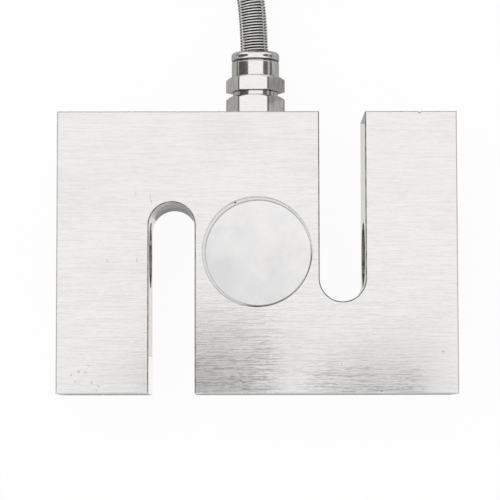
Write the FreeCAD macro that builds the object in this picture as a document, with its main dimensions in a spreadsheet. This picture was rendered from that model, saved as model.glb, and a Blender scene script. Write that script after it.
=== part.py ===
import FreeCAD, Part
import math
import os
import Sketcher
from FreeCAD import Placement, Rotation, Vector

# S type load cell, lying on its back.  Millimetres; X is the load axis, Y points along the cable,
# Z is up, and the origin is the middle of the block's back face.

doc = FreeCAD.newDocument("s_type_load_cell")
sheet = doc.addObject("Spreadsheet::Sheet", "Sizes")

SIZES = {
    # S block
    "block_length": 108, "block_width": 76.2, "block_thickness": 25.4, "edge_break": 0.3,
    "slot_width": 12.4, "slot_offset": 23, "slot_depth": 51.5,
    "load_hole_radius": 9, "load_hole_chamfer": 1,
    "nick_offset": 43.96, "nick_width": 1.1, "nick_reach": 0.7, "nick_depth": 1.2,
    # gauge pockets, with the web that carries the gauges between them
    "gauge_web": 4, "seat_land": 1.8, "seat_depth": 0.9, "seat_ledge": 2, "pocket_corner": 1,
    "cover_gap": 0.8, "cover_thickness": 0.6, "cover_edge": 0.1,
    "cover_shift_x": 0.3, "cover_shift_y": -0.28, "sealant_drop": 0.2,
    "potting_depth": 4,
    # gland port in the block's upper side
    "gland_shift": -0.35, "port_radius": 6, "port_depth": 11,
    "recess_radius": 6.85, "recess_depth": 0.95,
    "cable_bore_radius": 3.5, "cable_bore_overrun": 2,
    # cable gland, heights measured outwards from the block's side
    "hex_flats": 14, "hex_turn": 5, "hex_bevel": 30,
    "body_hex_height": 5.5, "neck_radius": 6.175, "neck_top": 6.9,
    "relief_depth": 0.4, "relief_height": 1.5, "body_clearance": 0.5, "gland_bore_radius": 3.1,
    "spigot_radius": 5, "spigot_top": 12.4, "cup_radius": 4.1, "cup_floor": 9,
    "seal_proud": 0.2, "clamp_thickness": 1, "clamp_radius": 4.8, "clamp_bore_radius": 2.8,
    "cap_hex_top": 10.9, "cap_radius": 6.525, "cap_top": 15,
    "groove_radius": 6.125, "groove_width": 0.45, "bead_radius": 6.6, "bead_top": 17.8,
    "bead_round": 0.8, "bead_heel": 0.4, "spring_seat_height": 14.4, "spring_clearance": 0.15,
    "spring_radius": 3.85, "spring_bore_radius": 3.05, "spring_reach": 20.5,
    # strain gauges, terminal boards and wiring
    "gauge_offset": 5.3, "gauge_length": 9, "gauge_width": 5, "gauge_thickness": 0.1,
    "grid_height": 0.05, "grid_pitch": 0.5, "grid_line": 0.25, "grid_length": 4.5,
    "tab_size": 1.3, "tab_offset": 3.5, "tab_spread": 2.4,
    "board_length": 10, "board_width": 4, "board_thickness": 0.8, "board_margin": 0.6,
    "resistor_length": 2, "resistor_width": 1.25, "resistor_height": 0.5, "resistor_offset": 3.95,
    "core_diameter": 0.8, "core_pitch": 1, "core_lift": 2.45,
    "jumper_diameter": 0.3, "cross_offset": 2.2,
    # cable, its coil and the flying leads
    "cable_diameter": 5.4, "coil_mean_radius": 32.4, "coil_width": 21.6, "coil_height": 21.6,
    "coil_corner": 2.4, "tie_thickness": 1, "tie_width": 2.5, "tie_count": 3,
    "tie_head_length": 5, "tie_head_height": 2.7,
    "sleeve_diameter": 6.6, "sleeve_length": 14, "sleeve_overlap": 8,
    "lead_diameter": 1.5, "lead_ring_radius": 1.45, "tip_diameter": 1, "tip_length": 5,
}
for row, (alias, number) in enumerate(SIZES.items(), 1):
    sheet.set(f"A{row}", alias)
    sheet.set(f"B{row}", str(number))
    sheet.setAlias(f"B{row}", alias)
doc.recompute()

# the seat fills the land between the slots, and the pocket and the disc follow it
SEAT_RADIUS = "(Sizes.slot_offset - Sizes.slot_width / 2 - Sizes.seat_land)"
POCKET_RADIUS = f"({SEAT_RADIUS} - Sizes.seat_ledge)"
COVER_RADIUS = f"({SEAT_RADIUS} - Sizes.cover_gap)"

FINISHED = []


def size(alias):
    return float(sheet.get(alias))


seat_radius = size("slot_offset") - size("slot_width") / 2 - size("seat_land")
pocket_radius = seat_radius - size("seat_ledge")


def finish(part, label):
    """Gives a finished sub-part the label that names its file."""
    part.Label = label
    FINISHED.append(part)
    return part


def origin_feature(body, role):
    return next(f for f in body.Origin.OriginFeatures if f.Role == role)


def sketch(body, name, plane):
    new = body.newObject("Sketcher::SketchObject", name)
    new.AttachmentSupport = (origin_feature(body, plane), [""])
    new.MapMode = "FlatFace"
    return new


def pin(outline, edge, end, x, y):
    """Ties one end of a sketch edge to the sheet."""
    at = outline.getPoint(edge, end)
    for kind, expression, start in (("DistanceX", x, at.x), ("DistanceY", y, at.y)):
        number = outline.addConstraint(Sketcher.Constraint(kind, -1, 1, edge, end, start))
        outline.setExpression(f"Constraints[{number}]", expression)


def polygon(body, name, plane, corners):
    """A closed outline of straight lines whose corners are expressions on the sheet."""
    outline = sketch(body, name, plane)
    count = len(corners)
    turn = 2 * math.pi / count
    start = [Vector(math.cos(turn * i), math.sin(turn * i), 0) for i in range(count)]
    for i in range(count):
        outline.addGeometry(Part.LineSegment(start[i], start[(i + 1) % count]), False)
    for i in range(count):
        outline.addConstraint(Sketcher.Constraint("Coincident", i, 2, (i + 1) % count, 1))
    for i, (x, y) in enumerate(corners):
        pin(outline, i, 1, x, y)
    return outline


def padded(body, name, outline, length, side="One side"):
    pad = body.newObject("PartDesign::Pad", name)
    pad.Profile = outline
    pad.SideType = side
    pad.setExpression("Length", length)
    return pad


def turned(body, name, kind, outline, axis):
    """A Revolution or Groove of an outline, all the way round one of the sketch's own axes."""
    feature = body.newObject("PartDesign::" + kind, name)
    feature.Profile = outline
    feature.ReferenceAxis = (outline, [axis])
    feature.Angle = 360
    return feature


def new_body(label):
    return finish(doc.addObject("PartDesign::Body", label), label)


def edge_names(shape, wanted):
    return [f"Edge{i}" for i, edge in enumerate(shape.Edges, 1) if wanted(edge)]


# ---------------------------------------------------------------- spring element
# One machined block.  A slot from each long side leaves an S, a threaded load hole runs through
# each outer arm into its slot, and a round pocket from each face leaves the thin gauge web.

block = new_body("spring_element")
block.setExpression("Placement.Base.z", "Sizes.block_thickness / 2")

blank = polygon(block, "blank_outline", "XY_Plane", [
    ("-Sizes.block_length / 2", "-Sizes.block_width / 2"),
    ("Sizes.block_length / 2", "-Sizes.block_width / 2"),
    ("Sizes.block_length / 2", "Sizes.block_width / 2"),
    ("-Sizes.block_length / 2", "Sizes.block_width / 2"),
])
padded(block, "blank", blank, "Sizes.block_thickness", "Symmetric")

slot = sketch(block, "slot_outline", "XY_Plane")
slot.addGeometry(Part.LineSegment(Vector(-2, -9, 0), Vector(-1, -9, 0)), False)
slot.addGeometry(Part.LineSegment(Vector(-1, -9, 0), Vector(-1, 0, 0)), False)
slot.addGeometry(Part.ArcOfCircle(Part.Circle(Vector(-1.5, 0, 0), Vector(0, 0, 1), 0.5), 0, math.pi))
slot.addGeometry(Part.LineSegment(Vector(-2, 0, 0), Vector(-2, -9, 0)), False)
for first, second in ((0, 1), (1, 2), (2, 3), (3, 0)):
    slot.addConstraint(Sketcher.Constraint("Coincident", first, 2, second, 1))
near_side = "-Sizes.block_width / 2 - Sizes.slot_width"
round_centre = "Sizes.slot_depth - Sizes.block_width / 2 - Sizes.slot_width / 2"
pin(slot, 0, 1, "-Sizes.slot_offset - Sizes.slot_width / 2", near_side)
pin(slot, 0, 2, "-Sizes.slot_offset + Sizes.slot_width / 2", near_side)
pin(slot, 1, 2, "-Sizes.slot_offset + Sizes.slot_width / 2", round_centre)
pin(slot, 3, 1, "-Sizes.slot_offset - Sizes.slot_width / 2", round_centre)
level = slot.addConstraint(Sketcher.Constraint("DistanceY", -1, 1, 2, 3, 0.5))
slot.setExpression(f"Constraints[{level}]", round_centre)
slot_cut = block.newObject("PartDesign::Pocket", "slot")
slot_cut.Profile = slot
slot_cut.SideType = "Symmetric"
slot_cut.setExpression("Length", "2 * Sizes.block_thickness")

hole = polygon(block, "load_hole_outline", "XY_Plane", [
    ("-Sizes.block_length / 2", "0"),
    ("-Sizes.block_length / 2", "Sizes.load_hole_radius + Sizes.load_hole_chamfer"),
    ("-Sizes.block_length / 2 + Sizes.load_hole_chamfer", "Sizes.load_hole_radius"),
    ("-Sizes.slot_offset", "Sizes.load_hole_radius"),
    ("-Sizes.slot_offset", "0"),
])
hole_cut = turned(block, "load_hole", "Groove", hole, "H_Axis")

both_ends = block.newObject("PartDesign::PolarPattern", "slots_and_holes")
both_ends.Originals = [slot_cut, hole_cut]
both_ends.Axis = (origin_feature(block, "Z_Axis"), [""])
both_ends.Angle = 360
both_ends.Occurrences = 2
block.Tip = both_ends

pocket = polygon(block, "gauge_pocket_outline", "XZ_Plane", [
    ("0", "Sizes.gauge_web / 2"),
    (POCKET_RADIUS + " - Sizes.pocket_corner", "Sizes.gauge_web / 2"),
    (POCKET_RADIUS, "Sizes.gauge_web / 2 + Sizes.pocket_corner"),
    (POCKET_RADIUS, "Sizes.block_thickness / 2 - Sizes.seat_depth"),
    (SEAT_RADIUS, "Sizes.block_thickness / 2 - Sizes.seat_depth"),
    (SEAT_RADIUS, "Sizes.block_thickness"),
    ("0", "Sizes.block_thickness"),
])
front_pocket = turned(block, "front_pocket", "Groove", pocket, "V_Axis")
rear_pocket = block.newObject("PartDesign::Mirrored", "rear_pocket")
rear_pocket.Originals = [front_pocket]
rear_pocket.MirrorPlane = (origin_feature(block, "XY_Plane"), [""])
block.Tip = rear_pocket
doc.recompute()


def on_face_outline(edge):
    """True for the edges that bound the S on its two large faces, not for those of the pockets."""
    box = edge.BoundBox
    flat = abs(box.ZMin - box.ZMax) < 1e-6 and abs(abs(box.ZMin) - size("block_thickness") / 2) < 1e-6
    reach = max(math.hypot(vertex.X, vertex.Y) for vertex in edge.Vertexes)
    return flat and reach > seat_radius + 1e-6


edge_break = block.newObject("PartDesign::Chamfer", "broken_edges")
edge_break.Base = (rear_pocket, edge_names(rear_pocket.Shape, on_face_outline))
edge_break.setExpression("Size", "Sizes.edge_break")

port = polygon(block, "gland_port_outline", "YZ_Plane", [
    (POCKET_RADIUS + " - Sizes.cable_bore_overrun", "0"),
    ("Sizes.block_width / 2", "0"),
    ("Sizes.block_width / 2", "Sizes.recess_radius"),
    ("Sizes.block_width / 2 - Sizes.recess_depth", "Sizes.recess_radius"),
    ("Sizes.block_width / 2 - Sizes.recess_depth", "Sizes.port_radius"),
    ("Sizes.block_width / 2 - Sizes.port_depth", "Sizes.port_radius"),
    ("Sizes.block_width / 2 - Sizes.port_depth", "Sizes.cable_bore_radius"),
    (POCKET_RADIUS + " - Sizes.cable_bore_overrun", "Sizes.cable_bore_radius"),
])
port.setExpression("AttachmentOffset.Base.z", "Sizes.gland_shift")
turned(block, "gland_port", "Groove", port, "H_Axis")

nick = polygon(block, "nick_outline", "XY_Plane", [
    ("Sizes.nick_offset - Sizes.nick_width / 2", "Sizes.block_width / 2"),
    ("Sizes.nick_offset", "Sizes.block_width / 2 - Sizes.nick_reach"),
    ("Sizes.nick_offset + Sizes.nick_width / 2", "Sizes.block_width / 2"),
])
nick.setExpression("AttachmentOffset.Base.z", "Sizes.block_thickness / 2 - Sizes.nick_depth")
nick_cut = block.newObject("PartDesign::Pocket", "edge_nick")
nick_cut.Profile = nick
nick_cut.Reversed = True
nick_cut.setExpression("Length", "2 * Sizes.nick_depth")
doc.recompute()


# ---------------------------------------------------------------- covers and sealant
# A thin steel disc lies in each seat, and a bead of sealant fills the gap round it.

def cover(label, shift_x, shift_y, height):
    body = new_body(label)
    body.setExpression("Placement.Base.x", shift_x)
    body.setExpression("Placement.Base.y", shift_y)
    body.setExpression("Placement.Base.z", height)
    outline = polygon(body, label + "_outline", "XZ_Plane", [
        ("0", "0"),
        (COVER_RADIUS, "0"),
        (COVER_RADIUS, "Sizes.cover_thickness - Sizes.cover_edge"),
        (COVER_RADIUS + " - Sizes.cover_edge", "Sizes.cover_thickness"),
        ("0", "Sizes.cover_thickness"),
    ])
    turned(body, label + "_disc", "Revolution", outline, "V_Axis")
    return body


def sealant(label, shift_x, shift_y, height):
    seat = doc.addObject("Part::Cylinder", label + "_seat")
    seat.setExpression("Radius", SEAT_RADIUS)
    seat.setExpression("Placement.Base.z", height)
    disc = doc.addObject("Part::Cylinder", label + "_disc")
    disc.setExpression("Radius", COVER_RADIUS)
    disc.setExpression("Placement.Base.x", shift_x)
    disc.setExpression("Placement.Base.y", shift_y)
    disc.setExpression("Placement.Base.z", height)
    for cylinder in (seat, disc):
        cylinder.setExpression("Height", "Sizes.seat_depth - Sizes.sealant_drop")
    bead = doc.addObject("Part::Cut", label)
    bead.Base = seat
    bead.Tool = disc
    return finish(bead, label)


front_seat = "Sizes.block_thickness - Sizes.seat_depth"
cover("front_cover", "Sizes.cover_shift_x", "Sizes.cover_shift_y", front_seat)
sealant("front_sealant", "Sizes.cover_shift_x", "Sizes.cover_shift_y", front_seat)
rear_cover = cover("rear_cover", "0", "0", "Sizes.seat_depth")
rear_cover.Placement = Placement(rear_cover.Placement.Base, Rotation(Vector(1, 0, 0), 180))
sealant("rear_sealant", "0", "0", "Sizes.sealant_drop")


# ---------------------------------------------------------------- cable gland
# Each piece is turned about its own Z, which points out of the block's side.

def gland_piece(piece):
    piece.Placement = Placement(Vector(), Rotation(Vector(1, 0, 0), -90))
    piece.setExpression("Placement.Base.x", "Sizes.gland_shift")
    piece.setExpression("Placement.Base.y", "Sizes.block_width / 2")
    piece.setExpression("Placement.Base.z", "Sizes.block_thickness / 2")
    return piece


def hexagon(body, name, bottom, top):
    """Spanner flats, bevelled at their outer end by a 30 degree cut."""
    corner = "Sizes.hex_flats / 2 / cos(30)"
    outline = polygon(body, name + "_outline", "XY_Plane", [
        (f"{corner} * cos({60 * i} - Sizes.hex_turn)", f"{corner} * sin({60 * i} - Sizes.hex_turn)")
        for i in range(6)
    ])
    outline.setExpression("AttachmentOffset.Base.z", bottom)
    padded(body, name, outline, f"{top} - ({bottom})")
    bevel = polygon(body, name + "_bevel_outline", "XZ_Plane", [
        ("Sizes.hex_flats / 2", top),
        ("Sizes.hex_flats", top),
        ("Sizes.hex_flats", f"{top} - Sizes.hex_flats / 2 * tan(Sizes.hex_bevel)"),
    ])
    turned(body, name + "_bevel", "Groove", bevel, "V_Axis")


gland_body = gland_piece(new_body("gland_body"))
turned(gland_body, "turned_body", "Revolution", polygon(gland_body, "turned_body_outline", "XZ_Plane", [
    ("Sizes.gland_bore_radius", "Sizes.body_clearance - Sizes.port_depth"),
    ("Sizes.port_radius - Sizes.relief_depth", "Sizes.body_clearance - Sizes.port_depth"),
    ("Sizes.port_radius", "Sizes.body_clearance + Sizes.relief_depth - Sizes.port_depth"),
    ("Sizes.port_radius", "-Sizes.relief_height"),
    ("Sizes.port_radius - Sizes.relief_depth", "-Sizes.relief_height"),
    ("Sizes.port_radius - Sizes.relief_depth", "0"),
    ("Sizes.neck_radius", "0"),
    ("Sizes.neck_radius", "Sizes.neck_top"),
    ("Sizes.spigot_radius", "Sizes.neck_top"),
    ("Sizes.spigot_radius", "Sizes.spigot_top"),
    ("Sizes.cup_radius", "Sizes.spigot_top"),
    ("Sizes.cup_radius", "Sizes.cup_floor"),
    ("Sizes.gland_bore_radius", "Sizes.cup_floor"),
]), "V_Axis")
hexagon(gland_body, "body_hexagon", "0", "Sizes.body_hex_height")

o_ring = gland_piece(finish(doc.addObject("Part::Torus", "gland_o_ring"), "gland_o_ring"))
o_ring.setExpression("Radius1", "Sizes.recess_radius - Sizes.recess_depth / 2")
o_ring.setExpression("Radius2", "Sizes.recess_depth / 2")
o_ring.setExpression("Placement.Base.y", "Sizes.block_width / 2 - Sizes.recess_depth / 2")

seal_top = "Sizes.spigot_top + Sizes.seal_proud"
clamp_top = seal_top + " + Sizes.clamp_thickness"
gland_seal = gland_piece(new_body("gland_seal"))
turned(gland_seal, "bush", "Revolution", polygon(gland_seal, "bush_outline", "XZ_Plane", [
    ("Sizes.cable_diameter / 2", "Sizes.cup_floor"),
    ("Sizes.cup_radius", "Sizes.cup_floor"),
    ("Sizes.cup_radius", seal_top),
    ("Sizes.cable_diameter / 2", seal_top),
]), "V_Axis")

gland_clamp = gland_piece(new_body("gland_clamp"))
turned(gland_clamp, "ring", "Revolution", polygon(gland_clamp, "ring_outline", "XZ_Plane", [
    ("Sizes.clamp_bore_radius", seal_top),
    ("Sizes.clamp_radius", seal_top),
    ("Sizes.clamp_radius", clamp_top),
    ("Sizes.clamp_bore_radius", clamp_top),
]), "V_Axis")

gland_cap = gland_piece(new_body("gland_cap"))
turned_cap = turned(gland_cap, "turned_cap", "Revolution", polygon(gland_cap, "cap_outline", "XZ_Plane", [
    ("Sizes.spigot_radius", "Sizes.neck_top"),
    ("Sizes.cap_radius", "Sizes.neck_top"),
    ("Sizes.cap_radius", "Sizes.cap_top"),
    ("Sizes.groove_radius", "Sizes.cap_top"),
    ("Sizes.groove_radius", "Sizes.cap_top + Sizes.groove_width"),
    ("Sizes.bead_radius", "Sizes.cap_top + Sizes.groove_width"),
    ("Sizes.bead_radius", "Sizes.bead_top"),
    ("Sizes.spring_radius + Sizes.spring_clearance", "Sizes.bead_top"),
    ("Sizes.spring_radius + Sizes.spring_clearance", "Sizes.spring_seat_height"),
    ("Sizes.clamp_bore_radius", "Sizes.spring_seat_height"),
    ("Sizes.clamp_bore_radius", clamp_top),
    ("Sizes.spigot_radius", clamp_top),
]), "V_Axis")
hexagon(gland_cap, "cap_hexagon", "Sizes.neck_top", "Sizes.cap_hex_top")
doc.recompute()
# the hexagon's pad filled the cap's thread bore, so it is bored again
thread_bore = turned(gland_cap, "thread_bore", "Groove", polygon(gland_cap, "thread_bore_outline", "XZ_Plane", [
    ("0", "Sizes.neck_top"),
    ("Sizes.spigot_radius", "Sizes.neck_top"),
    ("Sizes.spigot_radius", clamp_top),
    ("0", clamp_top),
]), "V_Axis")
doc.recompute()


def round_bead(name, base, height, radius):
    """Rounds the bead's circular edge that lies at one height."""
    def wanted(edge):
        if not isinstance(edge.Curve, Part.Circle):
            return False
        on_rim = abs(edge.Curve.Radius - size("bead_radius")) < 1e-6
        return on_rim and abs(edge.Curve.Center.z - height) < 1e-6

    fillet = gland_cap.newObject("PartDesign::Fillet", name)
    fillet.Base = (base, edge_names(base.Shape, wanted))
    fillet.setExpression("Radius", radius)
    doc.recompute()
    return fillet


rolled_bead = round_bead("rolled_bead", thread_bore, size("bead_top"), "Sizes.bead_round")
bead_heel_height = size("cap_top") + size("groove_width")
round_bead("bead_heel", rolled_bead, bead_heel_height, "Sizes.bead_heel")

turned(gland_body, "through_bore", "Groove", polygon(gland_body, "through_bore_outline", "XZ_Plane", [
    ("0", "0"),
    ("Sizes.gland_bore_radius", "0"),
    ("Sizes.gland_bore_radius", "Sizes.cup_floor"),
    ("0", "Sizes.cup_floor"),
]), "V_Axis")
doc.recompute()


# ---------------------------------------------------------------- tubes along a route
# A route is straight runs joined by tangent arcs, each as large as its two runs allow.

RUN_SHARE = 0.45


def route(points, name=None):
    """The wire through a list of points, its corners rounded over RUN_SHARE of the shorter run."""
    edges = []
    start = points[0]
    for before, corner, after in zip(points, points[1:], points[2:]):
        arriving = (corner - before).normalize()
        leaving = (after - corner).normalize()
        shorter = min((corner - before).Length, (after - corner).Length)
        back = RUN_SHARE * shorter
        turn = arriving.getAngle(leaving)
        radius = back / math.tan(turn / 2)
        inward = (leaving - arriving).normalize()
        middle = corner + inward * (radius / math.cos(turn / 2) - radius)
        arc_start = corner - arriving * back
        arc_end = corner + leaving * back
        edges.append(Part.LineSegment(start, arc_start).toShape())
        edges.append(Part.Arc(arc_start, middle, arc_end).toShape())
        start = arc_end
        if name:
            print(f"{name}: turn {math.degrees(turn):.1f} deg, radius {radius:.1f} mm")
    edges.append(Part.LineSegment(start, points[-1]).toShape())
    return Part.Wire(edges)


def tube(path, diameter, label=None):
    start = path.OrderedEdges[0]
    direction = start.tangentAt(start.FirstParameter)
    circle = Part.Circle(start.valueAt(start.FirstParameter), direction, diameter / 2)
    solid = path.makePipeShell([Part.Wire(circle.toShape())], True, False)
    expected = path.Length * math.pi * diameter ** 2 / 4
    if label:
        print(f"{label}: {path.Length:.1f} mm long, volume {solid.Volume / expected:.4f} of the expected")
    return solid


def shaped(label, shape):
    """A sub-part whose shape is made in code from the sheet's sizes."""
    part = doc.addObject("Part::Feature", label)
    part.Shape = shape
    return finish(part, label)


middle_height = size("block_thickness") / 2
gland_x = size("gland_shift")
cable_diameter = size("cable_diameter")


def mirrored(shape):
    """The same piece on the rear side of the gauge web."""
    return shape.mirror(Vector(0, 0, middle_height), Vector(0, 0, 1))


# ---------------------------------------------------------------- gauges, boards and wiring
# Two foil gauges at 45 degrees and a terminal board are bonded to each side of the web.

web_top = middle_height + size("gauge_web") / 2
board_top = web_top + size("board_thickness")
floor_radius = pocket_radius - size("pocket_corner") - size("board_margin")
board_end = math.sqrt(floor_radius ** 2 - size("board_length") ** 2 / 4)
board_middle = board_end - size("board_width") / 2


def box(length, width, height, centre):
    return Part.makeBox(length, width, height, centre - Vector(length / 2, width / 2, 0))


def strain_gauge(side):
    """A foil gauge on its backing: side is -1 for the left one and 1 for the right one."""
    gauge = box(size("gauge_length"), size("gauge_width"), size("gauge_thickness"), Vector())
    foil_level = size("gauge_thickness")
    for line in range(-3, 4):
        at = Vector(-size("tab_size") / 2, line * size("grid_pitch"), foil_level)
        gauge = gauge.fuse(box(size("grid_length"), size("grid_line"), size("grid_height"), at))
    for tab in (-0.5, 0.5):
        at = Vector(size("tab_offset"), tab * size("tab_spread"), foil_level)
        gauge = gauge.fuse(box(size("tab_size"), size("tab_size"), size("grid_height"), at))
    gauge = gauge.removeSplitter()
    gauge.rotate(Vector(), Vector(0, 0, 1), 45 if side < 0 else 135)
    gauge.translate(Vector(side * size("gauge_offset"), 0, web_top))
    return gauge


def tab_point(side, tab):
    """The top of one solder tab, where its jumper starts."""
    along = size("tab_offset") * math.sqrt(0.5)
    across = tab * size("tab_spread") * math.sqrt(0.5)
    foil_top = web_top + size("gauge_thickness") + size("grid_height")
    return Vector(side * (size("gauge_offset") - along + across), along + across, foil_top)


def jumpers():
    """Fine wires from the four tabs to the board."""
    radius = size("jumper_diameter") / 2
    board_edge = board_end - size("board_width")
    wires = []
    for side in (-1, 1):
        for tab in (-0.5, 0.5):
            start = tab_point(side, tab) + Vector(0, 0, radius)
            crest = Vector(start.x, board_edge - 3 * radius, board_top + 4 * radius)
            end = Vector(start.x, board_edge + 5 * radius, board_top + radius)
            wires.append(tube(route([start, crest, end]), 2 * radius))
    return Part.makeCompound(wires)


front_pieces = {
    "strain_gauge_front_a": strain_gauge(-1),
    "strain_gauge_front_b": strain_gauge(1),
    "terminal_board_front": box(size("board_length"), size("board_width"), size("board_thickness"),
                                Vector(0, board_middle, web_top)),
    "bridge_wires_front": jumpers(),
}
rear_pieces = {}
for label, shape in front_pieces.items():
    rear_pieces[label.replace("front", "rear")] = mirrored(shape)

resistor_level = Vector(0, board_end - size("resistor_width"), board_top)
front_pieces["trim_resistors"] = Part.makeCompound([
    box(size("resistor_length"), size("resistor_width"), size("resistor_height"),
        resistor_level + Vector(side * size("resistor_offset"), 0, 0))
    for side in (-1, 1)
])


def cross_wire(side):
    """A jumper from the front board through the bore's mouth in the web to the rear board."""
    radius = size("jumper_diameter") / 2
    x = gland_x + side * size("cross_offset")
    mouth = pocket_radius - size("cable_bore_overrun") / 2 + radius
    half = [
        Vector(x, board_end - 1, board_top + radius),
        Vector(x, board_end + 4 * radius, board_top + 4 * radius),
        Vector(x, mouth, web_top),
    ]
    other_half = [Vector(p.x, p.y, 2 * middle_height - p.z) for p in reversed(half)]
    return tube(route(half + other_half), 2 * radius)


cross_wires = Part.makeCompound([cross_wire(-1), cross_wire(1)])


def core(place):
    """One core of the cable, from the end of the jacket to the front board."""
    radius = size("core_diameter") / 2
    jacket_end = CABLE_ROUTE[0].y
    x = gland_x + place * size("core_pitch")
    low = middle_height + size("core_lift") / 2
    high = middle_height + size("core_lift")
    return tube(route([
        Vector(x, jacket_end, low),
        Vector(x, jacket_end - 8 * radius, low),
        Vector(x, pocket_radius + 12 * radius, high),
        Vector(x, pocket_radius, high),
        Vector(x, board_end + 2.5 * radius, board_top + radius),
        Vector(x, board_end - 4 * radius, board_top + radius),
    ]), 2 * radius)


# ---------------------------------------------------------------- cable and its coil
# The cable leaves the gland through the spring guard and ends in a tied coil.

CABLE_ROUTE = [
    Vector(-0.35, 38.0, 12.7), Vector(-0.35, 59.0, 12.7), Vector(-2.35, 79.0, 12.7),
    Vector(-12.6, 108.7, 15.6), Vector(-25.6, 131.2, 19.9),
]
CABLE_END_ROUTE = [
    Vector(47.3, 151.5, 3.7), Vector(50.0, 132.5, 3.5), Vector(47.6, 115.0, 2.8),
    Vector(42.2, 101.5, 2.9), Vector(32.0, 92.0, 3.35), Vector(18.5, 87.8, 3.35),
]
COIL_CENTRE = Vector(9.5, 151.5, 0)


def coil_section(grow):
    """Half the coil's outer section, grown all round by the tie's thickness."""
    inner = size("coil_mean_radius") - size("coil_width") / 2 - grow
    outer = size("coil_mean_radius") + size("coil_width") / 2 + grow
    bottom = size("tie_thickness") - grow
    top = size("tie_thickness") + size("coil_height") + grow
    corner = size("coil_corner") + grow / 2
    corners = [
        (inner + corner, bottom), (outer - corner, bottom), (outer, bottom + corner),
        (outer, top - corner), (outer - corner, top), (inner + corner, top),
        (inner, top - corner), (inner, bottom + corner),
    ]
    points = [Vector(x, 0, z) for x, z in corners]
    return Part.Face(Part.makePolygon(points + points[:1]))


coil_shape = coil_section(0).revolve(Vector(), Vector(0, 0, 1), 360)
coil_shape.translate(COIL_CENTRE)


def coil_tie(number):
    """A nylon tie round the coil's section, with its head on top."""
    width = size("tie_width")
    loop = coil_section(size("tie_thickness")).cut(coil_section(0))
    loop = loop.extrude(Vector(0, width, 0))
    top = 2 * size("tie_thickness") + size("coil_height")
    head = box(size("tie_head_length"), 2 * width, size("tie_head_height"),
               Vector(size("coil_mean_radius"), width / 2, top - size("tie_thickness")))
    tie = loop.fuse(head)
    tie.translate(Vector(0, -width / 2, 0))
    tie = tie.cut(coil_section(0).revolve(Vector(), Vector(0, 0, 1), 360))
    tie.rotate(Vector(), Vector(0, 0, 1), 30 + 360 / size("tie_count") * number)
    tie.translate(COIL_CENTRE)
    return tie.removeSplitter()


cable_path = route(CABLE_ROUTE, "cable")
cable_shape = tube(cable_path, cable_diameter, "cable").cut(coil_shape)
cable_end_path = route(CABLE_END_ROUTE, "cable_end")
cable_end_shape = tube(cable_end_path, cable_diameter, "cable_end").cut(coil_shape)

# the guard follows the cable and ends before the bend to the coil; it starts on its seat in the cap
guard_bend = CABLE_ROUTE[2]
guard_leaving = (CABLE_ROUTE[3] - guard_bend).normalize()
guard_end = guard_bend + guard_leaving * size("spring_reach")
guard_path = route([*CABLE_ROUTE[:2], guard_bend, guard_end], "guard")
guard_shape = tube(guard_path, 2 * size("spring_radius"), "guard")
guard_shape = guard_shape.cut(tube(guard_path, 2 * size("spring_bore_radius")))
below_seat = Part.makeCylinder(2 * size("spring_radius"), size("block_width") / 2 + size("spring_seat_height"),
                               Vector(gland_x, 0, middle_height), Vector(0, 1, 0))
guard_shape = guard_shape.cut(below_seat)

# ---------------------------------------------------------------- sleeve and flying leads
# Five stripped leads fan out of a shrunk sleeve and lie on the bench.

tail = CABLE_END_ROUTE[-1]
tail_direction = (tail - CABLE_END_ROUTE[-2]).normalize()
tail_side = Vector(0, 0, 1).cross(tail_direction).normalize()
sleeve_start = tail - tail_direction * size("sleeve_overlap")
sleeve = Part.makeCylinder(size("sleeve_diameter") / 2, size("sleeve_length"), sleeve_start, tail_direction)
sleeve = sleeve.cut(Part.makeCylinder(cable_diameter / 2, size("sleeve_length"), sleeve_start, tail_direction))


def lead_route(number, lane):
    """From the end of the jacket down to the bench, in a lane of the fan."""
    radius = size("lead_diameter") / 2
    angle = math.radians(72 * (number - 2))
    offset = tail_side * math.sin(angle) + Vector(0, 0, math.cos(angle))
    offset = offset * size("lead_ring_radius")
    sleeve_end = size("sleeve_length") - size("sleeve_overlap")
    points = [tail + offset, tail + tail_direction * (sleeve_end + 1) + offset]
    for ahead, spread, drift in ((7, 2.4, 0.5), (14, 3.1, 2.4), (21, 3.4, 5.8)):
        point = tail + tail_direction * (sleeve_end + ahead) + tail_side * (lane * spread - drift)
        points.append(Vector(point.x, point.y, radius))
    return points


LEADS = {"lead_black": (0, -1), "lead_red": (1, -2), "lead_shield": (2, 0),
         "lead_white": (3, 2), "lead_green": (4, 1)}
lead_shapes = {}
tips = []
for label, (number, lane) in LEADS.items():
    points = lead_route(number, lane)
    lead_shapes[label] = tube(route(points), size("lead_diameter"))
    direction = (points[-1] - points[-2]).normalize()
    tips.append(Part.makeCylinder(size("tip_diameter") / 2, size("tip_length"), points[-1], direction))

# ---------------------------------------------------------------- the pieces made in code

for place, colour in ((-1.5, "red"), (-0.5, "black"), (0.5, "green"), (1.5, "white")):
    front_pieces["core_" + colour] = core(place)
for label, shape in {**front_pieces, **rear_pieces, "cross_wires": cross_wires}.items():
    shaped(label, shape)


def potting(pieces):
    """Soft silicone over one side of the web, cast round what lies there."""
    block_shape = block.Shape.copy()
    fill = Part.makeCylinder(pocket_radius, size("potting_depth"), Vector(0, 0, web_top))
    if pieces is rear_pieces:
        fill = mirrored(fill)
    return fill.cut([block_shape, cross_wires, *pieces.values()])


shaped("front_potting", potting(front_pieces))
shaped("rear_potting", potting(rear_pieces))
shaped("guard_spring", guard_shape)
shaped("cable", cable_shape)
shaped("cable_coil", coil_shape)
shaped("cable_end", cable_end_shape)
shaped("coil_ties", Part.makeCompound([coil_tie(n) for n in range(int(size("tie_count")))]))
shaped("tail_sleeve", sleeve)
for label, shape in lead_shapes.items():
    shaped(label, shape)
shaped("lead_tips", Part.makeCompound(tips))

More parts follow.
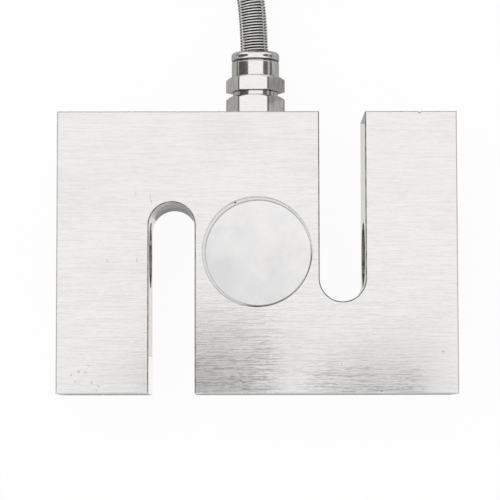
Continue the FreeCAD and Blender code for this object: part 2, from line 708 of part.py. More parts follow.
# ---------------------------------------------------------------- writing the files

doc.recompute()
for item in doc.Objects:
    if "Invalid" in item.State or "Error" in item.State:
        raise RuntimeError(f"{item.Label} did not build")
os.makedirs("parts", exist_ok=True)
for part in FINISHED:
    if part.Shape.isNull() or not part.Shape.isValid():
        raise RuntimeError(f"{part.Label} has no sound shape")
    part.Shape.exportStep(f"parts/{part.Label}.step")
    box_now = part.Shape.optimalBoundingBox(False)
    print(f"{part.Label}: {len(part.Shape.Solids)} solids, {part.Shape.Volume:.1f} mm3, "
          f"x {box_now.XMin:.2f} {box_now.XMax:.2f} y {box_now.YMin:.2f} {box_now.YMax:.2f} "
          f"z {box_now.ZMin:.2f} {box_now.ZMax:.2f}")
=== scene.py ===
import math

import bmesh
import bpy
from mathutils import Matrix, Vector


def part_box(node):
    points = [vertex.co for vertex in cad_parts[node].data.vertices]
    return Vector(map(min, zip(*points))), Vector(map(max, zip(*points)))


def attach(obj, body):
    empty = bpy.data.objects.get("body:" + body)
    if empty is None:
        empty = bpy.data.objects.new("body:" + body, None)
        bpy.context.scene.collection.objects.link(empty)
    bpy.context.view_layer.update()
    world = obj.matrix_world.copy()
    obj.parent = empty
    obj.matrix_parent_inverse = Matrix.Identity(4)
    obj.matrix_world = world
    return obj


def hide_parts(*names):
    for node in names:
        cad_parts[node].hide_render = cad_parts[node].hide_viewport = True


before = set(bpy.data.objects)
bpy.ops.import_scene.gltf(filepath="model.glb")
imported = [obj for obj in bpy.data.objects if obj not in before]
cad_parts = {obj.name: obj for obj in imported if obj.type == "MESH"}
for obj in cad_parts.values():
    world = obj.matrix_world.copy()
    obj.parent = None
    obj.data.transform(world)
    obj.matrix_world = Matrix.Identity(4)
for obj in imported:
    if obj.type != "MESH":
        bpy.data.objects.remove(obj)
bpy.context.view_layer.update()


# --- Camera -------------------------------------------------------------------------------------
# The cell lies on its back on a white table, and the camera hangs over its lower edge and
# looks down on it, tipped a few degrees forward.

camera_data = bpy.data.cameras.new("camera")
camera_data.sensor_width = 36
camera_data.lens = 158.57
camera_data.clip_start = 0.05
camera_data.clip_end = 20
camera = bpy.data.objects.new("camera", camera_data)
camera.location = (-0.00228, -0.04686, 0.61549)
camera.rotation_mode = "YXZ"
camera.rotation_euler = (0.08, -0.0005, -0.0014)
bpy.context.scene.collection.objects.link(camera)
bpy.context.scene.camera = camera


# --- Cable --------------------------------------------------------------------------------------
# Three metres of round PVC cable.  It leaves the gland through the spring guard, rises onto a tied
# coil, is wound down through it in four layers and comes out at the bottom to its leads.

CABLE_RADIUS = 0.0027
CABLE_ROUTE = [
    (-0.00035, 0.0380, 0.0127), (-0.00035, 0.0590, 0.0127), (-0.00235, 0.0790, 0.0127),
    (-0.0126, 0.1087, 0.0156), (-0.0256, 0.1312, 0.0199),
]
CABLE_END_ROUTE = [
    (0.0473, 0.1515, 0.0037), (0.0500, 0.1325, 0.0035), (0.0476, 0.1150, 0.0028),
    (0.0422, 0.1015, 0.0029), (0.0320, 0.0920, 0.00335), (0.0185, 0.0878, 0.00335),
]
COIL_CENTRE = (0.0095, 0.1515)
COIL_START = math.radians(210)
COIL_SWEEP = math.radians(210)
POINTS_PER_TURN = 16
STEP_OVER = 0.22
WANDER = 0.0002

# each layer's height and the radii of its turns, from the top layer to the bottom one
COIL_LAYERS = [
    (0.0199, (0.0401, 0.0349, 0.0296, 0.0243)), (0.0145, (0.0270, 0.0324, 0.0378)),
    (0.0091, (0.0401, 0.0349, 0.0296, 0.0243)), (0.0037, (0.0270, 0.0324, 0.0378)),
]


def coil_turns():
    """The coil's points: each turn steps over from the last one in its first fifth, then keeps round."""
    turns = [(radius, height) for height, radii in COIL_LAYERS for radius in radii]
    full = len(turns) - 1
    count = full * POINTS_PER_TURN + round(COIL_SWEEP / math.tau * POINTS_PER_TURN)
    bulge = 1 / math.cos(math.pi / POINTS_PER_TURN)
    points = []
    for i in range(1, count):
        number, step = divmod(i, POINTS_PER_TURN)
        radius, height = turns[number]
        before, height_before = turns[max(number - 1, 0)]
        share = min(1, step / (STEP_OVER * POINTS_PER_TURN))
        share = share * share * (3 - 2 * share)
        radius = before + (radius - before) * share
        height = height_before + (height - height_before) * share
        angle = COIL_START - math.tau * i / POINTS_PER_TURN
        reach = radius * bulge + WANDER * math.sin(2.3 * i + number)
        x = COIL_CENTRE[0] + reach * math.cos(angle)
        y = COIL_CENTRE[1] + reach * math.sin(angle)
        points.append((x, y, height))
    return points


def cord_curve(name, points, radius):
    """A round cord along one smooth line."""
    curve = bpy.data.curves.new(name, "CURVE")
    curve.dimensions = "3D"
    curve.bevel_depth = 1
    curve.bevel_resolution = 5
    curve.resolution_u = 6
    curve.use_fill_caps = True
    spline = curve.splines.new("NURBS")
    spline.points.add(len(points) - 1)
    for point, place in zip(spline.points, points):
        point.co = (*place, 1)
        point.radius = radius
    spline.order_u = 3
    spline.use_endpoint_u = True
    piece = bpy.data.objects.new(name, curve)
    bpy.context.scene.collection.objects.link(piece)
    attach(piece, "root")
    return piece


cable = cord_curve("cable_run", CABLE_ROUTE + coil_turns() + CABLE_END_ROUTE, CABLE_RADIUS)
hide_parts("cable", "cable_coil", "cable_end")


class Finish:
    """One shader, with patterns laid on in metres on the part's own coordinates."""

    def __init__(self, name, colour, roughness, metallic=0.0):
        self.material = bpy.data.materials.new(name)
        self.material.use_nodes = True
        self.nodes = self.material.node_tree.nodes
        self.links = self.material.node_tree.links
        self.shader = self.nodes["Principled BSDF"]
        self.shader.inputs["Base Color"].default_value = (*colour, 1)
        self.shader.inputs["Roughness"].default_value = roughness
        self.shader.inputs["Metallic"].default_value = metallic
        self.place = self.add("ShaderNodeTexCoord").outputs["Object"]

    def add(self, kind, **settings):
        node = self.nodes.new(kind)
        for name, value in settings.items():
            setattr(node, name, value)
        return node

    def feed(self, socket, value):
        if isinstance(value, bpy.types.NodeSocket):
            self.links.new(value, socket)
        else:
            socket.default_value = value

    def maths(self, operation, *values, clamp=False):
        node = self.add("ShaderNodeMath", operation=operation, use_clamp=clamp)
        for socket, value in zip(node.inputs, values):
            self.feed(socket, value)
        return node.outputs[0]

    def stretched(self, stretch, shift=(0, 0, 0)):
        """The part's coordinates, scaled to cells per metre along each axis."""
        node = self.add("ShaderNodeMapping")
        self.feed(node.inputs["Vector"], self.place)
        node.inputs["Scale"].default_value = stretch
        node.inputs["Location"].default_value = shift
        return node.outputs[0]

    def noise(self, stretch, detail=3, rough=0.5, shift=(0, 0, 0)):
        node = self.add("ShaderNodeTexNoise")
        self.feed(node.inputs["Vector"], self.stretched(stretch, shift))
        node.inputs["Scale"].default_value = 1
        node.inputs["Detail"].default_value = detail
        node.inputs["Roughness"].default_value = rough
        return node.outputs["Fac"]

    def ramp(self, value, low, high, out_low=0.0, out_high=1.0):
        node = self.add("ShaderNodeMapRange", interpolation_type="SMOOTHSTEP")
        for socket, setting in zip(node.inputs, (value, low, high, out_low, out_high)):
            self.feed(socket, setting)
        return node.outputs[0]

    def blend(self, share, first, second):
        node = self.add("ShaderNodeMix", data_type="RGBA")
        self.feed(node.inputs["Factor"], share)
        for socket, colour in ((node.inputs["A"], first), (node.inputs["B"], second)):
            chosen = [s for s in node.inputs if s.name == socket.name and s.type == "RGBA"][0]
            self.feed(chosen, colour if isinstance(colour, bpy.types.NodeSocket) else (*colour, 1))
        return [s for s in node.outputs if s.type == "RGBA"][0]

    def bump(self, height, distance, strength=1.0):
        node = self.add("ShaderNodeBump")
        self.feed(node.inputs["Height"], height)
        node.inputs["Distance"].default_value = distance
        node.inputs["Strength"].default_value = strength
        if self.shader.inputs["Normal"].is_linked:
            self.links.new(self.shader.inputs["Normal"].links[0].from_socket, node.inputs["Normal"])
        self.links.new(node.outputs[0], self.shader.inputs["Normal"])

    def colour(self, value):
        self.feed(self.shader.inputs["Base Color"], value)

    def roughness(self, value):
        self.feed(self.shader.inputs["Roughness"], value)


def dress(finish, *names):
    """Gives CAD nodes, by name, or new pieces a finish."""
    for name in names:
        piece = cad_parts[name] if isinstance(name, str) else name
        if not piece.material_slots:
            piece.data.materials.append(None)
        for place in piece.material_slots:
            place.material = finish.material


# extruded PVC: satin black with a faint ripple and a little dust
jacket = Finish("black_jacket", (0.022, 0.022, 0.024), 0.42)
jacket_dust = jacket.noise((220, 220, 220), 4)
dusty = jacket.ramp(jacket_dust, 0.5, 0.8)
jacket.colour(jacket.blend(dusty, (0.020, 0.020, 0.022), (0.045, 0.044, 0.043)))
jacket.roughness(jacket.ramp(jacket.noise((900, 900, 900)), 0.3, 0.7, 0.36, 0.50))
jacket.bump(jacket.noise((1500, 1500, 1500), 2), 0.00003)
dress(jacket, cable)


# --- Spring element -----------------------------------------------------------------------------
# One block of alloy steel, cut by wire to an S, surface ground and plated with satin nickel.
# The grinding lines run along its length, and its edges are only just broken.

NICKEL = (0.872, 0.863, 0.85)
NICKEL_SHADE = (0.715, 0.70, 0.68)
NICKEL_EDGE_SHADE = (0.20, 0.19, 0.18)
NICKEL_REFLECTION_GREY = (0.265, 0.255, 0.258)
CUT_WALL = (0.84, 0.825, 0.795)
WALL_SHADE = (0.70, 0.63, 0.595)
WALL_DEEP_SHADE = (0.17, 0.135, 0.125)
PIT = (0.10, 0.095, 0.09)
SLOTS_WITHIN_X = 0.0296
SLOTS_WITHIN_Y = 0.0376
FADE = 0.0003
BLOCK_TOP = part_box("spring_element")[1].z

nickel = Finish("satin_nickel", NICKEL, 0.14, 1.0)
facing = nickel.add("ShaderNodeSeparateXYZ")
nickel.feed(facing.inputs[0], nickel.add("ShaderNodeNewGeometry").outputs["Normal"])
on_front = nickel.ramp(facing.outputs["Z"], 0.8, 0.9)
end_face = nickel.ramp(nickel.maths("ABSOLUTE", facing.outputs["X"]), 0.6, 0.8)


def ground(long_way, short_way):
    """Grinding lines: long ones that run on, broken up by short ones."""
    long_lines = nickel.noise(long_way, 1, 0.5)
    short_lines = nickel.noise(short_way, 1, 0.5, (7, 3, 5))
    long_lines = nickel.maths("MULTIPLY", long_lines, 0.55)
    short_lines = nickel.maths("MULTIPLY", short_lines, 0.45)
    return nickel.maths("ADD", long_lines, short_lines)


grind_mix = nickel.add("ShaderNodeMix", data_type="FLOAT")
grind_x = ground((110, 4900, 4900), (620, 5100, 5100))
grind_y = ground((3900, 110, 3900), (4100, 620, 4100))
nickel.feed(grind_mix.inputs[0], end_face)
nickel.feed(grind_mix.inputs[2], grind_x)
nickel.feed(grind_mix.inputs[3], grind_y)
grind = grind_mix.outputs[0]
cloud = nickel.noise((38, 50, 50), 4, 0.55)
streak = nickel.noise((90, 1500, 1500), 3, 0.6)
shade = nickel.maths("MULTIPLY", nickel.ramp(grind, 0.42, 0.66), 0.48)
shade = nickel.maths("ADD", shade, nickel.ramp(cloud, 0.45, 0.80, 0.0, 0.30))
shade = nickel.maths("ADD", shade, nickel.ramp(streak, 0.50, 0.80, 0.0, 0.20), clamp=True)
plated = nickel.blend(shade, NICKEL, NICKEL_SHADE)

# painted reflection: the ground lines are coloured grey along the lower edge, most of all beside the left
# slot, where the face mirrors the dark camera above it
where = nickel.add("ShaderNodeSeparateXYZ")
nickel.feed(where.inputs[0], nickel.place)
x_place, y_place = where.outputs["X"], where.outputs["Y"]


def patch(left, right, start, depth):
    """A patch that fades in and out along X and deepens from a start in Y to the lower edge."""
    along = nickel.maths("MULTIPLY", nickel.ramp(x_place, *left), nickel.ramp(x_place, *right, 1.0, 0.0))
    return nickel.maths("MULTIPLY", along, nickel.ramp(y_place, start, -0.038, 0.0, depth))


beside_slot = patch((-0.026, -0.020), (0.001, 0.009), -0.008, 1.0)
along_edge = patch((0.008, 0.020), (0.040, 0.048), -0.024, 0.8)
painted_reflection = nickel.maths("MAXIMUM", beside_slot, along_edge)
painted_reflection = nickel.maths("MULTIPLY", painted_reflection, nickel.ramp(grind, 0.46, 0.60))
painted_reflection = nickel.maths("MULTIPLY", painted_reflection, on_front)
plated = nickel.blend(nickel.maths("MULTIPLY", painted_reflection, 0.72), plated, NICKEL_REFLECTION_GREY)

# the slots were cut by wire; their walls are coloured darker and browner at the round ends as painted
# shade, where they mirror the table in the block's shadow
lean = nickel.maths("ABSOLUTE", facing.outputs["Z"])
inside_x = nickel.ramp(nickel.maths("ABSOLUTE", x_place), SLOTS_WITHIN_X, SLOTS_WITHIN_X + FADE, 1.0, 0.0)
inside_y = nickel.ramp(nickel.maths("ABSOLUTE", y_place), SLOTS_WITHIN_Y, SLOTS_WITHIN_Y + FADE, 1.0, 0.0)
by_slots = nickel.maths("MULTIPLY", inside_x, inside_y)
slot_wall = nickel.maths("MULTIPLY", nickel.ramp(lean, 0.5, 0.3), by_slots)
round_end = nickel.ramp(nickel.maths("ABSOLUTE", facing.outputs["Y"]), 0.30, 0.98)
wall_shade_mottle = nickel.ramp(nickel.noise((120, 120, 420), 4), 0.40, 0.60)
wall_and_shade = nickel.blend(round_end, CUT_WALL, nickel.blend(wall_shade_mottle, WALL_SHADE, WALL_DEEP_SHADE))
plated = nickel.blend(slot_wall, plated, wall_and_shade)

# the broken edges lie at 45 degrees to the faces: dull outside, and coloured dark round the slots as
# painted shade, since there they mirror the shaded slots
edge = nickel.maths("MULTIPLY", nickel.ramp(lean, 0.45, 0.6), nickel.ramp(lean, 0.95, 0.8))
slot_edge_shade = nickel.maths("MULTIPLY", edge, by_slots)
edge_shade_breakup = nickel.ramp(nickel.noise((400, 400, 400), 3), 0.35, 0.70, 0.55, 1.0)
plated = nickel.blend(nickel.maths("MULTIPLY", slot_edge_shade, edge_shade_breakup), plated, NICKEL_EDGE_SHADE)

# a knock on the upper edge of the right arm, coloured dark round it as painted shade in the notch
NICK = (0.04396, 0.0381, BLOCK_TOP)
KNOCK_SPREAD = (1400, 1200, 450)
knock_shade = nickel.add("ShaderNodeVectorMath", operation="LENGTH")
to_nick = [-cells * place for cells, place in zip(KNOCK_SPREAD, NICK)]
nickel.feed(knock_shade.inputs[0], nickel.stretched(KNOCK_SPREAD, to_nick))
plated = nickel.blend(nickel.ramp(knock_shade.outputs["Value"], 0.5, 1.0, 0.85, 0.0), plated, (0.22, 0.21, 0.20))

# small pits and knocks: where each lies, its half length along X and Y, and how dark it is
PITS = [
    (-0.0403, -0.0024, 0.00016, 0.00018, 0.6), (-0.0541, -0.0060, 0.00045, 0.00030, 0.7),
    (-0.0323, -0.0023, 0.00012, 0.00065, 0.45), (-0.0326, 0.0159, 0.00010, 0.00090, 0.30),
    (-0.0288, 0.0148, 0.00010, 0.00110, 0.40), (-0.0284, 0.0136, 0.00012, 0.00040, 0.40),
    (-0.0478, -0.0322, 0.00045, 0.00022, 0.5), (-0.0461, -0.0323, 0.00020, 0.00030, 0.5),
    (-0.0498, -0.0331, 0.00016, 0.00030, 0.4), (-0.0487, -0.0349, 0.00018, 0.00018, 0.5),
    (-0.0443, -0.0352, 0.00016, 0.00050, 0.4), (-0.0425, -0.0360, 0.00016, 0.00022, 0.5),
    (-0.0430, -0.0372, 0.00020, 0.00014, 0.5), (-0.0452, -0.0306, 0.00035, 0.00012, 0.3),
    (0.0498, -0.0269, 0.00035, 0.00018, 0.6), (0.0509, -0.0262, 0.00014, 0.00014, 0.4),
    (0.0225, -0.0303, 0.00018, 0.00022, 0.5), (0.0219, -0.0322, 0.00014, 0.00018, 0.4),
    (0.0332, -0.0374, 0.00050, 0.00030, 0.7), (0.0312, -0.0223, 0.00035, 0.00012, 0.3),
    (0.0336, -0.0362, 0.00016, 0.00016, 0.4), (-0.0126, -0.0371, 0.00020, 0.00020, 0.4),
]
pitted = None
for x, y, half_x, half_y, depth in PITS:
    away = nickel.add("ShaderNodeVectorMath", operation="LENGTH")
    to_pit = (-x / half_x, -y / half_y, 0)
    nickel.feed(away.inputs[0], nickel.stretched((1 / half_x, 1 / half_y, 0), to_pit))
    reach = nickel.maths("ADD", away.outputs["Value"], nickel.maths("MULTIPLY", grind, 0.8))
    spot = nickel.ramp(reach, 0.8, 1.8, depth, 0.0)
    pitted = spot if pitted is None else nickel.maths("MAXIMUM", pitted, spot)
pitted = nickel.maths("MULTIPLY", pitted, on_front)
nickel.colour(nickel.blend(pitted, plated, PIT))
satin = nickel.ramp(grind, 0.3, 0.75, 0.10, 0.19)
satin = nickel.maths("ADD", satin, nickel.maths("MULTIPLY", edge, 0.5))
nickel.roughness(nickel.maths("ADD", satin, nickel.maths("MULTIPLY", pitted, 0.3)))
nickel.bump(grind, 0.000016, 0.7)
nickel.bump(nickel.maths("MULTIPLY", pitted, -1), 0.00005, 0.5)
dress(nickel, "spring_element")


# --- Load threads -------------------------------------------------------------------------------
# The M18 x 1.5 threads cut in the two outer arms, where a rod end or an eye bolt screws in.
# They lie on the wall of the drilled holes, with a lead-in at the mouth.

THREAD_PITCH = 0.0015
THREAD_MAJOR = 0.0090
THREAD_MINOR = 0.0082
THREAD_START = 0.0528
THREAD_END = 0.0293
THREAD_SUNK = 0.00002
THREAD_STEPS = 48


def made_piece(name, mesh, smooth=True):
    """Turns a finished mesh into a piece that rides on the block."""
    bmesh.ops.recalc_face_normals(mesh, faces=mesh.faces)
    for face in mesh.faces:
        face.smooth = smooth
    data = bpy.data.meshes.new(name)
    mesh.to_mesh(data)
    mesh.free()
    piece = bpy.data.objects.new(name, data)
    bpy.context.scene.collection.objects.link(piece)
    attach(piece, "root")
    return piece


def load_thread(name, side):
    """A helical ridge on the wall of one load hole, side -1 for the left and 1 for the right."""
    mesh = bmesh.new()
    root = THREAD_MAJOR - THREAD_SUNK
    turns = (THREAD_START - THREAD_END) / THREAD_PITCH - 1
    profile = [(0, root), (0.42, THREAD_MINOR), (0.58, THREAD_MINOR), (1, root)]
    count = int(turns * THREAD_STEPS)
    rows = []
    for i in range(count + 1):
        turn = side * math.tau * i / THREAD_STEPS
        start = THREAD_START - THREAD_PITCH * i / THREAD_STEPS
        fade = min(1, i / THREAD_STEPS, (count - i) / THREAD_STEPS)
        row = []
        for along, radius in profile:
            reach = root - (root - radius) * fade
            x = side * (start - THREAD_PITCH * along)
            row.append(mesh.verts.new((x, reach * math.cos(turn), BLOCK_TOP / 2 + reach * math.sin(turn))))
        rows.append(row)
    for before, after in zip(rows, rows[1:]):
        for j in range(len(profile) - 1):
            mesh.faces.new((before[j], before[j + 1], after[j + 1], after[j]))
    return made_piece(name, mesh, smooth=False)


cut_steel = Finish("cut_thread", (0.46, 0.45, 0.435), 0.32, 1.0)
cut_cloud = cut_steel.noise((600, 600, 600), 4)
cut_steel.colour(cut_steel.blend(cut_cloud, (0.50, 0.49, 0.475), (0.28, 0.27, 0.26)))
cut_steel.bump(cut_steel.noise((4000, 1500, 1500), 3), 0.00001)
dress(cut_steel, load_thread("load_thread_left", -1), load_thread("load_thread_right", 1))


# --- Covers and sealant -------------------------------------------------------------------------
# A thin stainless disc closes the gauge pocket on each face.  It lies in a turned seat, a
# little off centre, and a bead of pale sealant, drawn back as it cured, fills the gap.

cover_steel = Finish("cover_steel", (0.80, 0.795, 0.79), 0.24, 1.0)
cover_cloud = cover_steel.noise((110, 110, 110), 3, 0.55)
# painted light: the disc is coloured lighter towards the upper right and darker towards the lower left,
# mixed with random clouding
toward_light = cover_steel.add("ShaderNodeVectorMath", operation="DOT_PRODUCT")
cover_steel.feed(toward_light.inputs[0], cover_steel.place)
toward_light.inputs[1].default_value = (18, 18, 0)
painted_light_gradient = cover_steel.maths("MULTIPLY", toward_light.outputs["Value"], 0.6)
cloud_and_painted_light = cover_steel.ramp(cover_steel.maths("SUBTRACT", cover_cloud, painted_light_gradient), 0.30, 0.80)
cover_tint = cover_steel.ramp(cover_steel.noise((160, 160, 160), 2, 0.5, (3, 8, 1)), 0.45, 0.65)
bright_steel = cover_steel.blend(cover_tint, (0.88, 0.87, 0.855), (0.845, 0.838, 0.84))
cover_steel.colour(cover_steel.blend(cloud_and_painted_light, bright_steel, (0.755, 0.75, 0.76)))
cover_steel.roughness(cover_steel.ramp(cover_steel.noise((90, 90, 90), 1), 0.1, 0.9, 0.20, 0.28))
cover_steel.bump(cover_steel.noise((70, 70, 70), 1), 0.00002)
dress(cover_steel, "front_cover", "rear_cover")

# the bead stands clear of both walls by a hair, and its corners have slumped
RING_STEPS = 128
SEALANT_GAP = 0.00016
SEALANT_SLUMP = 0.00012


def sealant_bead(name, node, cover, up):
    """The ring between a disc and its seat, with rounded, slightly sunk edges."""
    low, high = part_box(node)
    disc_low, disc_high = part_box(cover)
    seat = (low + high) / 2
    disc = (disc_low + disc_high) / 2
    seat_radius = (high.x - low.x) / 2
    disc_radius = (disc_high.x - disc_low.x) / 2
    top, bottom = (high.z, low.z) if up else (low.z, high.z)
    drop = SEALANT_SLUMP if up else -SEALANT_SLUMP
    shoulder, corner = top - 0.3 * drop, top - 2 * drop
    profile = [
        (0, bottom), (0, corner), (0.06, shoulder), (0.5, top), (0.94, shoulder), (1, corner), (1, bottom),
    ]
    mesh = bmesh.new()
    rows = []
    for i in range(RING_STEPS):
        angle = math.tau * i / RING_STEPS
        way = Vector((math.cos(angle), math.sin(angle), 0))
        outer = seat + way * (seat_radius - SEALANT_GAP)
        inner = disc + way * (disc_radius + SEALANT_GAP * 0.6)
        row = []
        for share, height in profile:
            point = inner.lerp(outer, share)
            row.append(mesh.verts.new((point.x, point.y, height)))
        rows.append(row)
    for before, after in zip(rows, rows[1:] + rows[:1]):
        for j in range(len(before) - 1):
            mesh.faces.new((before[j], before[j + 1], after[j + 1], after[j]))
        mesh.faces.new((before[-1], before[0], after[0], after[-1]))
    bead = made_piece(name, mesh)
    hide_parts(node)
    return bead


sealant = Finish("pale_sealant", (0.78, 0.785, 0.78), 0.30)
cured = sealant.blend(sealant.noise((500, 500, 500), 4), (0.80, 0.805, 0.80), (0.70, 0.70, 0.695))

# painted shade: the bead is coloured near black along the lower right, where the gap to the rim is narrow,
# and in two small spots where bubbles burst
toward = sealant.add("ShaderNodeVectorMath", operation="DOT_PRODUCT")
sealant.feed(toward.inputs[0], sealant.place)
toward.inputs[1].default_value = (0.64, -0.77, 0)
gap_and_hole_shade = sealant.ramp(toward.outputs["Value"], 0.0072, 0.0114)
for burst_at in ((-0.0059, 0.0133, 0.0252), (0.0124, -0.0080, 0.0252)):
    bubble = sealant.add("ShaderNodeVectorMath", operation="DISTANCE")
    sealant.feed(bubble.inputs[0], sealant.place)
    bubble.inputs[1].default_value = burst_at
    hole_shade = sealant.ramp(bubble.outputs["Value"], 0.00016, 0.00034, 1.0, 0.0)
    gap_and_hole_shade = sealant.maths("MAXIMUM", gap_and_hole_shade, hole_shade)
sealant.colour(sealant.blend(gap_and_hole_shade, cured, (0.03, 0.03, 0.03)))
sealant.bump(sealant.noise((1200, 1200, 1200), 3), 0.00002)
dress(sealant, sealant_bead("front_bead", "front_sealant", "front_cover", True))
dress(sealant, sealant_bead("rear_bead", "rear_sealant", "rear_cover", False))


# --- Cable gland --------------------------------------------------------------------------------
# Turned and milled from hexagon brass bar and bright nickel plated: a body screwed into the
# block's side and a cap that squeezes a rubber bush round the cable.

GLAND_X = -0.00035
GLAND_Z = 0.0127
CORNER_START = 7.90
CORNER_FULL = 8.02
CORNER_AND_CREASE_SHADE = (0.14, 0.125, 0.115)
BEAD_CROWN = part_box("gland_cap")[1].y - 0.00115
BEAD_HALF = 0.0011

bright = Finish("bright_nickel", (0.86, 0.85, 0.835), 0.07, 1.0)
turning = bright.noise((500, 5000, 500), 4, 0.6)
milling = bright.noise((3500, 200, 3500), 3, 0.6)
# painted reflection: the milling streaks darken only the side flats and the sides of the round parts, which
# mirror the shaded table; the flats facing up and down stay bright
gland_facing = bright.add("ShaderNodeSeparateXYZ")
bright.feed(gland_facing.inputs[0], bright.add("ShaderNodeNewGeometry").outputs["Normal"])
flank = bright.ramp(bright.maths("ABSOLUTE", gland_facing.outputs["Z"]), 0.97, 0.75)
streaks_and_flank_shade = bright.maths("MULTIPLY", bright.ramp(milling, 0.46, 0.66), flank)
bright_metal = bright.blend(bright.ramp(turning, 0.45, 0.8), (0.88, 0.87, 0.855), (0.78, 0.765, 0.745))
bright_metal = bright.blend(streaks_and_flank_shade, bright_metal, (0.58, 0.555, 0.53))

# painted shade: dark lines along the six corners, at their distance from the axis in millimetres, and
# darkening in the creases
from_axis = bright.add("ShaderNodeVectorMath", operation="LENGTH")
to_axis = (-1000 * GLAND_X, 0, -1000 * GLAND_Z)
bright.feed(from_axis.inputs[0], bright.stretched((1000, 0, 1000), to_axis))
corner = bright.ramp(from_axis.outputs["Value"], CORNER_START, CORNER_FULL)
crease = bright.add("ShaderNodeAmbientOcclusion", samples=8)
crease.inputs["Distance"].default_value = 0.0009
crease_shade = bright.ramp(crease.outputs["AO"], 0.80, 0.45)
painted_corner_and_crease_shade = bright.maths("MAXIMUM", bright.maths("MULTIPLY", corner, 0.9), crease_shade)
bright.colour(bright.blend(painted_corner_and_crease_shade, bright_metal, CORNER_AND_CREASE_SHADE))
bright.roughness(bright.ramp(turning, 0.3, 0.7, 0.07, 0.16))

# plating rounds every edge a little, and the rolled bead is domed across its width
softened = bright.add("ShaderNodeBevel", samples=6)
softened.inputs["Radius"].default_value = 0.0003
bead_place = bright.add("ShaderNodeSeparateXYZ")
bright.feed(bead_place.inputs[0], bright.place)
off_crown = bright.maths("ABSOLUTE", bright.maths("SUBTRACT", bead_place.outputs["Y"], BEAD_CROWN))
off_crown = bright.maths("MULTIPLY", off_crown, 1 / BEAD_HALF, clamp=True)
dome = bright.maths("SUBTRACT", 1.0, bright.maths("MULTIPLY", off_crown, off_crown))
bright.feed(bright.shader.inputs["Normal"], softened.outputs[0])
bright.bump(turning, 0.000003)
bright.bump(bright.noise((350, 350, 350), 2), 0.00001)
bright.bump(dome, 0.0003)
dress(bright, "gland_body", "gland_cap")

rubber = Finish("black_rubber", (0.03, 0.03, 0.03), 0.6)
rubber.bump(rubber.noise((2500, 2500, 2500), 3), 0.00002)
dress(rubber, "gland_o_ring", "gland_seal")

clamp_brass = Finish("turned_brass", (0.72, 0.55, 0.26), 0.3, 1.0)
clamp_brass.bump(clamp_brass.noise((2500, 2500, 2500), 3), 0.00001)
dress(clamp_brass, "gland_clamp")


# --- Spring guard -------------------------------------------------------------------------------
# A close-wound spring of bright wire, seated in the cap, that keeps the cable from kinking.
# Its coils follow the cable's own line.

WIRE_RADIUS = 0.00025
COIL_PITCH = 0.00078
GUARD_RADIUS = 0.00385
GUARD_START = 0.0150
GUARD_LENGTH = 0.0468
WIRE_STEPS = 28
WIRE_SIDES = 8


def line_of(piece):
    """The points of a cord's own smooth line, and the distance of each from its start."""
    bare = piece.data.copy()
    bare.bevel_depth = 0
    holder = bpy.data.objects.new("bare_line", bare)
    mesh = bpy.data.meshes.new_from_object(holder)
    points = [vertex.co.copy() for vertex in mesh.vertices]
    bpy.data.objects.remove(holder)
    bpy.data.meshes.remove(mesh)
    bpy.data.curves.remove(bare)
    distances = [0.0]
    for before, after in zip(points, points[1:]):
        distances.append(distances[-1] + (after - before).length)
    return points, distances


def guard_coils():
    """One long wire wound round the cable's line, with a flat end at each side."""
    points, distances = line_of(cable)
    mesh = bmesh.new()
    turns = GUARD_LENGTH / COIL_PITCH
    count = int(turns * WIRE_STEPS)
    across = Vector((1, 0, 0))
    segment = 0
    centres = []
    for i in range(count + 1):
        along = GUARD_START + GUARD_LENGTH * i / count
        while segment < len(points) - 2 and distances[segment + 1] < along:
            segment += 1
        way = points[segment + 1] - points[segment]
        share = (along - distances[segment]) / way.length
        tangent = way.normalized()
        side = (across - tangent * across.dot(tangent)).normalized()
        up = tangent.cross(side)
        angle = math.tau * i / WIRE_STEPS
        outward = side * math.cos(angle) + up * math.sin(angle)
        centre = points[segment].lerp(points[segment + 1], share)
        centres.append((centre + outward * (GUARD_RADIUS - WIRE_RADIUS), outward, tangent))
    rows = []
    for centre, outward, tangent in centres:
        row = []
        for j in range(WIRE_SIDES):
            turn = math.tau * j / WIRE_SIDES
            round_wire = outward * math.cos(turn) + tangent * math.sin(turn)
            row.append(mesh.verts.new(centre + round_wire * WIRE_RADIUS))
        rows.append(row)
    for before, after in zip(rows, rows[1:]):
        for j in range(WIRE_SIDES):
            mesh.faces.new((before[j], before[(j + 1) % WIRE_SIDES], after[(j + 1) % WIRE_SIDES], after[j]))
    mesh.faces.new(rows[0])
    mesh.faces.new(rows[-1])
    coils = made_piece("guard_coils", mesh)
    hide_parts("guard_spring")
    return coils


guard = guard_coils()

# bright drawn wire, with painted shade between its coils
wire = Finish("bright_wire", (0.80, 0.79, 0.775), 0.22, 0.55)
coil_gap_shade = wire.add("ShaderNodeAmbientOcclusion", samples=8)
coil_gap_shade.inputs["Distance"].default_value = 0.0006
drawn = wire.blend(wire.noise((700, 700, 700), 4), (0.97, 0.965, 0.955), (0.80, 0.785, 0.765))
wire.colour(wire.blend(wire.ramp(coil_gap_shade.outputs["AO"], 0.76, 0.95), (0.008, 0.006, 0.005), drawn))
dress(wire, guard)


# --- Gauges and wiring --------------------------------------------------------------------------
# Foil gauges on amber film and small solder boards are bonded to the thin web inside the block and
# joined by enamelled wire.  Soft clear silicone is poured over them before the discs go on.

film = Finish("gauge_film", (0.62, 0.36, 0.10), 0.35)
film.colour(film.blend(film.noise((2500, 2500, 2500), 2), (0.66, 0.40, 0.13), (0.52, 0.28, 0.07)))
dress(film, *(f"strain_gauge_{side}_{letter}" for side in ("front", "rear") for letter in "ab"))

